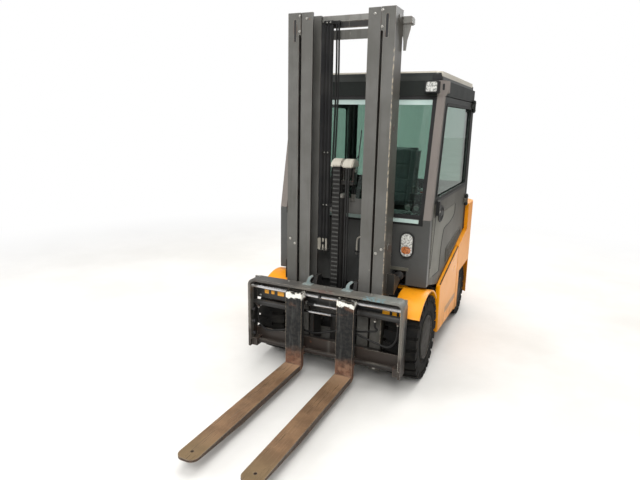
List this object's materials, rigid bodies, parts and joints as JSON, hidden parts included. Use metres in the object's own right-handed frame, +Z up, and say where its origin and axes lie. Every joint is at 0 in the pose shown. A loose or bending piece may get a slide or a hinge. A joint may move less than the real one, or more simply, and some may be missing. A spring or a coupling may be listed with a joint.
{
  "type": "counterbalance forklift",
  "caption": "Electric counterbalance forklift with an enclosed cab, a telescopic free-lift mast, a sliding fork positioner and steered rear wheels.",
  "frame": {"origin": "centre of the bounding box on the floor", "axes": "+Z up, -Y the way the forks point, +X the truck's left"},
  "size_m": [1.19, 3.32, 2.385],
  "materials": {
    "mast_paint": "worn satin",
    "yellow_paint": "satin",
    "cab_paint": "satin",
    "roof_paint": "satin",
    "frame_steel": "scuffed",
    "fork_steel": "worn and rusty",
    "bright_steel": "polished",
    "chain_steel": "oiled",
    "cast": "rough",
    "tyre": "dull",
    "rim_paint": "dull",
    "glass": "tinted",
    "seat_cloth": "matt",
    "black_plastic": "matt",
    "lamp": "clear"
  },
  "bodies": {
    "chassis": {"chassis_frame": "frame_steel", "side_panels": "yellow_paint", "front_fenders": "yellow_paint", "counterweight": "yellow_paint", "tow_pin": "bright_steel", "battery": "frame_steel", "drive_motor": "frame_steel", "cab_floor": "frame_steel", "front_console": "cab_paint", "cab_frame": "cab_paint", "cab_roof": "roof_paint", "cab_glass": "glass", "seat_base": "black_plastic", "seat_cushion": "seat_cloth", "seat_back": "seat_cloth", "armrest": "black_plastic", "steering_wheel": "black_plastic", "dashboard": "black_plastic", "head_lamps": "lamp", "work_lamps": "lamp", "tail_lamps": "lamp", "drive_axle": "cast", "steer_axle": "cast"},
    "mast_outer": {"mast_outer_rails": "mast_paint", "side_lift_barrels": "mast_paint"},
    "mast_inner": {"mast_inner_rails": "mast_paint", "side_lift_rods": "bright_steel", "free_lift_barrel": "mast_paint", "reeving_rear": "chain_steel"},
    "crosshead": {"crosshead": "bright_steel", "reeving_over": "chain_steel", "reeving_front": "chain_steel"},
    "carriage": {"carriage": "frame_steel"},
    "shifter": {"positioner_frame": "frame_steel", "positioner_rams": "frame_steel"},
    "fork_left": {"fork_left": "fork_steel"},
    "fork_right": {"fork_right": "fork_steel"},
    "tilt_barrels": {"tilt_barrels": "frame_steel"},
    "tilt_rods": {"tilt_rods": "bright_steel"},
    "knuckle_left": {"knuckle_left": "cast"},
    "knuckle_right": {"knuckle_right": "cast"},
    "door_left": {"door_left": "cab_paint", "door_glass_left": "glass"},
    "door_right": {"door_right": "cab_paint", "door_glass_right": "glass"},
    "wheel_front_left": {"tyre_front_left": "tyre", "rim_front_left": "rim_paint"},
    "wheel_front_right": {"tyre_front_right": "tyre", "rim_front_right": "rim_paint"},
    "wheel_rear_left": {"tyre_rear_left": "tyre", "rim_rear_left": "rim_paint"},
    "wheel_rear_right": {"tyre_rear_right": "tyre", "rim_rear_right": "rim_paint"}
  },
  "joints": [
    {"name": "mast_tilt", "type": "hinge", "parent": "chassis", "child": "mast_outer", "pos_m": [0, -0.179, 0.242], "axis": [1, 0, 0], "range_deg": [-4, 5]},
    {"name": "mast_lift", "type": "slide", "parent": "mast_outer", "child": "mast_inner", "axis": [0, 0, 1], "range_m": [0, 1.5]},
    {"name": "carriage_lift", "type": "slide", "parent": "mast_inner", "child": "carriage", "axis": [0, 0, 1], "range_m": [-0.03, 1.4]},
    {"name": "crosshead_lift", "type": "slide", "parent": "mast_inner", "child": "crosshead", "axis": [0, 0, 1], "range_m": [-0.016, 0.71], "deforming": ["reeving_front", "reeving_rear"]},
    {"name": "side_shift", "type": "slide", "parent": "carriage", "child": "shifter", "axis": [1, 0, 0], "range_m": [-0.053, 0.107]},
    {"name": "fork_left_slide", "type": "slide", "parent": "shifter", "child": "fork_left", "axis": [1, 0, 0], "range_m": [-0.105, 0.14]},
    {"name": "fork_right_slide", "type": "slide", "parent": "shifter", "child": "fork_right", "axis": [1, 0, 0], "range_m": [-0.14, 0.12]},
    {"name": "tilt_barrel_swing", "type": "hinge", "parent": "chassis", "child": "tilt_barrels", "pos_m": [0, 0.18, 0.7], "axis": [1, 0, 0], "range_deg": [-0.3, 0.3]},
    {"name": "tilt_rod_slide", "type": "slide", "parent": "tilt_barrels", "child": "tilt_rods", "axis": [0, -1, 0], "range_m": [-0.034, 0.042]},
    {"name": "steer_left", "type": "hinge", "parent": "chassis", "child": "knuckle_left", "pos_m": [0.36, 1.27, 0.228], "axis": [0, 0, 1], "range_deg": [-65, 65]},
    {"name": "steer_right", "type": "hinge", "parent": "chassis", "child": "knuckle_right", "pos_m": [-0.36, 1.27, 0.228], "axis": [0, 0, 1], "range_deg": [-65, 65]},
    {"name": "door_left_hinge", "type": "hinge", "parent": "chassis", "child": "door_left", "pos_m": [0.579, 1.208, 1.08], "axis": [0, 0, 1], "range_deg": [0, 70]},
    {"name": "door_right_hinge", "type": "hinge", "parent": "chassis", "child": "door_right", "pos_m": [-0.579, 1.208, 1.08], "axis": [0, 0, -1], "range_deg": [0, 70]},
    {"name": "wheel_front_left_spin", "type": "hinge", "parent": "chassis", "child": "wheel_front_left", "pos_m": [0.4825, -0.09, 0.292], "axis": [1, 0, 0], "continuous": true},
    {"name": "wheel_front_right_spin", "type": "hinge", "parent": "chassis", "child": "wheel_front_right", "pos_m": [-0.4825, -0.09, 0.292], "axis": [1, 0, 0], "continuous": true},
    {"name": "wheel_rear_left_spin", "type": "hinge", "parent": "knuckle_left", "child": "wheel_rear_left", "pos_m": [0.4885, 1.27, 0.228], "axis": [1, 0, 0], "continuous": true},
    {"name": "wheel_rear_right_spin", "type": "hinge", "parent": "knuckle_right", "child": "wheel_rear_right", "pos_m": [-0.4885, 1.27, 0.228], "axis": [1, 0, 0], "continuous": true}
  ],
  "couplings": [
    {"joint": "crosshead_lift", "follows": "carriage_lift", "ratio": 0.5},
    {"joint": "tilt_barrel_swing", "follows": "mast_tilt", "ratio": 0.03495},
    {"joint": "tilt_rod_slide", "follows": "mast_tilt", "m_per_rad": 0.458},
    {"joint": "steer_right", "follows": "steer_left", "ratio": 1}
  ]
}
